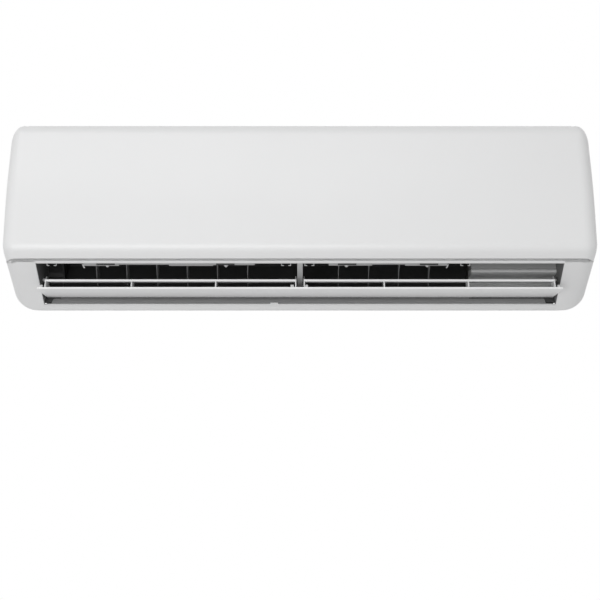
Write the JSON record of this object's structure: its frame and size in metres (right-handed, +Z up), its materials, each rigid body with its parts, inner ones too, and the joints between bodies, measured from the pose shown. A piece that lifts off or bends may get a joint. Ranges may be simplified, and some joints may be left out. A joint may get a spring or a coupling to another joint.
{
  "type": "split air conditioner indoor unit",
  "caption": "Wall-mounted split air conditioner indoor unit with a hinged front panel, top intake grille, swinging guide louvre and linked vertical vanes.",
  "frame": {"origin": "middle of the back of the wall plate, on the wall", "axes": "+X to the viewer's right along the unit, +Y into the wall, +Z up"},
  "size_m": [0.97, 0.2252, 0.31],
  "materials": {
    "galvanised": "zinc coated sheet",
    "inner_plastic": "matt moulded",
    "case_white": "satin moulded",
    "panel_white": "smooth satin gloss",
    "pan_plastic": "matt moulded",
    "black_rubber": "matt",
    "fan_grey": "matt glass filled plastic",
    "steel": "ground",
    "motor_resin": "moulded resin",
    "fins": "fine fins",
    "copper": "drawn copper tube",
    "brass_fitting": "machined",
    "filter_plastic": "fine net in a frame",
    "flap_white": "satin moulded",
    "bush_plastic": "natural acetal",
    "steel_can": "bright",
    "vane_grey": "matt moulded",
    "board_green": "lacquered board",
    "black_plastic": "matt moulded",
    "dark_lens": "tinted"
  },
  "bodies": {
    "unit": {"wall_plate": "galvanised", "chassis": "inner_plastic", "front_case": "case_white", "drain_pan": "pan_plastic", "drain_outlet": "inner_plastic", "drain_plug": "black_rubber", "fan_bearing": "black_rubber", "bearing_holder": "inner_plastic", "fan_motor": "motor_resin", "motor_clamp": "inner_plastic", "coil_front_lower": "fins", "coil_front_upper": "fins", "coil_rear": "fins", "coil_end_plate_left": "galvanised", "coil_end_plate_right": "galvanised", "return_bends_left": "copper", "return_bends_right": "copper", "gas_pipe": "copper", "liquid_pipe": "copper", "gas_union": "brass_fitting", "liquid_union": "brass_fitting", "pipe_clamp": "inner_plastic", "air_filter_left": "filter_plastic", "air_filter_right": "filter_plastic", "louver_bushes": "bush_plastic", "louver_motor": "steel_can", "vane_bar_left": "vane_grey", "vane_bar_right": "vane_grey", "control_box": "galvanised", "control_box_cover": "galvanised", "main_board": "board_green", "run_capacitor": "steel_can", "terminal_block": "black_plastic", "display_holder": "inner_plastic", "receiver_window": "dark_lens", "temperature_sensors": "copper"},
    "panel": {"front_panel": "panel_white"},
    "louver": {"louver_flap": "flap_white", "louver_vane_left": "flap_white", "louver_vane_right": "flap_white", "louver_shaft": "steel"},
    "fan": {"cross_flow_fan": "fan_grey", "fan_stub_shaft": "steel", "motor_shaft": "steel"},
    "button": {"emergency_button": "case_white"},
    "tie_left": {"tie_bar_left": "vane_grey"},
    "tie_right": {"tie_bar_right": "vane_grey"},
    "vane_left_1_body": {"vane_left_1": "vane_grey"},
    "vane_left_2_body": {"vane_left_2": "vane_grey"},
    "vane_left_3_body": {"vane_left_3": "vane_grey"},
    "vane_left_4_body": {"vane_left_4": "vane_grey"},
    "vane_left_5_body": {"vane_left_5": "vane_grey"},
    "vane_left_6_body": {"vane_left_6": "vane_grey"},
    "vane_right_1_body": {"vane_right_1": "vane_grey"},
    "vane_right_2_body": {"vane_right_2": "vane_grey"},
    "vane_right_3_body": {"vane_right_3": "vane_grey"},
    "vane_right_4_body": {"vane_right_4": "vane_grey"}
  },
  "joints": [
    {"name": "panel_hinge", "type": "hinge", "parent": "unit", "child": "panel", "pos_m": [0, -0.136, 0.1395], "axis": [-1, 0, 0], "range_deg": [0, 60]},
    {"name": "louver_swing", "type": "hinge", "parent": "unit", "child": "louver", "pos_m": [0, -0.134, -0.114], "axis": [-1, 0, 0], "range_deg": [-45, 29]},
    {"name": "fan_spin", "type": "hinge", "parent": "unit", "child": "fan", "pos_m": [0, -0.103, -0.038], "axis": [1, 0, 0], "continuous": true},
    {"name": "button_press", "type": "slide", "parent": "unit", "child": "button", "axis": [0, 1, 0], "range_m": [0, 0.0015], "stiffness_N_per_m": 400},
    {"name": "vane_left_1_swing", "type": "hinge", "parent": "unit", "child": "vane_left_1_body", "pos_m": [-0.338, -0.16514, -0.08023], "axis": [0, -0.3714, 0.9285], "range_deg": [-35, 35]},
    {"name": "vane_left_2_swing", "type": "hinge", "parent": "unit", "child": "vane_left_2_body", "pos_m": [-0.2878, -0.16514, -0.08023], "axis": [0, -0.3714, 0.9285], "range_deg": [-35, 35]},
    {"name": "vane_left_3_swing", "type": "hinge", "parent": "unit", "child": "vane_left_3_body", "pos_m": [-0.2376, -0.16514, -0.08023], "axis": [0, -0.3714, 0.9285], "range_deg": [-35, 35]},
    {"name": "vane_left_4_swing", "type": "hinge", "parent": "unit", "child": "vane_left_4_body", "pos_m": [-0.1874, -0.16514, -0.08023], "axis": [0, -0.3714, 0.9285], "range_deg": [-35, 35]},
    {"name": "vane_left_5_swing", "type": "hinge", "parent": "unit", "child": "vane_left_5_body", "pos_m": [-0.1372, -0.16514, -0.08023], "axis": [0, -0.3714, 0.9285], "range_deg": [-35, 35]},
    {"name": "vane_left_6_swing", "type": "hinge", "parent": "unit", "child": "vane_left_6_body", "pos_m": [-0.087, -0.16514, -0.08023], "axis": [0, -0.3714, 0.9285], "range_deg": [-35, 35]},
    {"name": "tie_left_pin", "type": "hinge", "parent": "vane_left_1_body", "child": "tie_left", "pos_m": [-0.338, -0.14434, -0.08375], "axis": [0, -0.3714, 0.9285], "range_deg": [-35, 35]},
    {"name": "vane_right_1_swing", "type": "hinge", "parent": "unit", "child": "vane_right_1_body", "pos_m": [0.064, -0.16514, -0.08023], "axis": [0, -0.3714, 0.9285], "range_deg": [-35, 35]},
    {"name": "vane_right_2_swing", "type": "hinge", "parent": "unit", "child": "vane_right_2_body", "pos_m": [0.1142, -0.16514, -0.08023], "axis": [0, -0.3714, 0.9285], "range_deg": [-35, 35]},
    {"name": "vane_right_3_swing", "type": "hinge", "parent": "unit", "child": "vane_right_3_body", "pos_m": [0.1644, -0.16514, -0.08023], "axis": [0, -0.3714, 0.9285], "range_deg": [-35, 35]},
    {"name": "vane_right_4_swing", "type": "hinge", "parent": "unit", "child": "vane_right_4_body", "pos_m": [0.2146, -0.16514, -0.08023], "axis": [0, -0.3714, 0.9285], "range_deg": [-35, 35]},
    {"name": "tie_right_pin", "type": "hinge", "parent": "vane_right_1_body", "child": "tie_right", "pos_m": [0.064, -0.14434, -0.08375], "axis": [0, -0.3714, 0.9285], "range_deg": [-35, 35]}
  ],
  "couplings": [
    {"joint": "vane_left_2_swing", "follows": "vane_left_1_swing", "ratio": 1},
    {"joint": "vane_left_3_swing", "follows": "vane_left_1_swing", "ratio": 1},
    {"joint": "vane_left_4_swing", "follows": "vane_left_1_swing", "ratio": 1},
    {"joint": "vane_left_5_swing", "follows": "vane_left_1_swing", "ratio": 1},
    {"joint": "vane_left_6_swing", "follows": "vane_left_1_swing", "ratio": 1},
    {"joint": "tie_left_pin", "follows": "vane_left_1_swing", "ratio": -1},
    {"joint": "vane_right_2_swing", "follows": "vane_right_1_swing", "ratio": 1},
    {"joint": "vane_right_3_swing", "follows": "vane_right_1_swing", "ratio": 1},
    {"joint": "vane_right_4_swing", "follows": "vane_right_1_swing", "ratio": 1},
    {"joint": "tie_right_pin", "follows": "vane_right_1_swing", "ratio": -1}
  ]
}
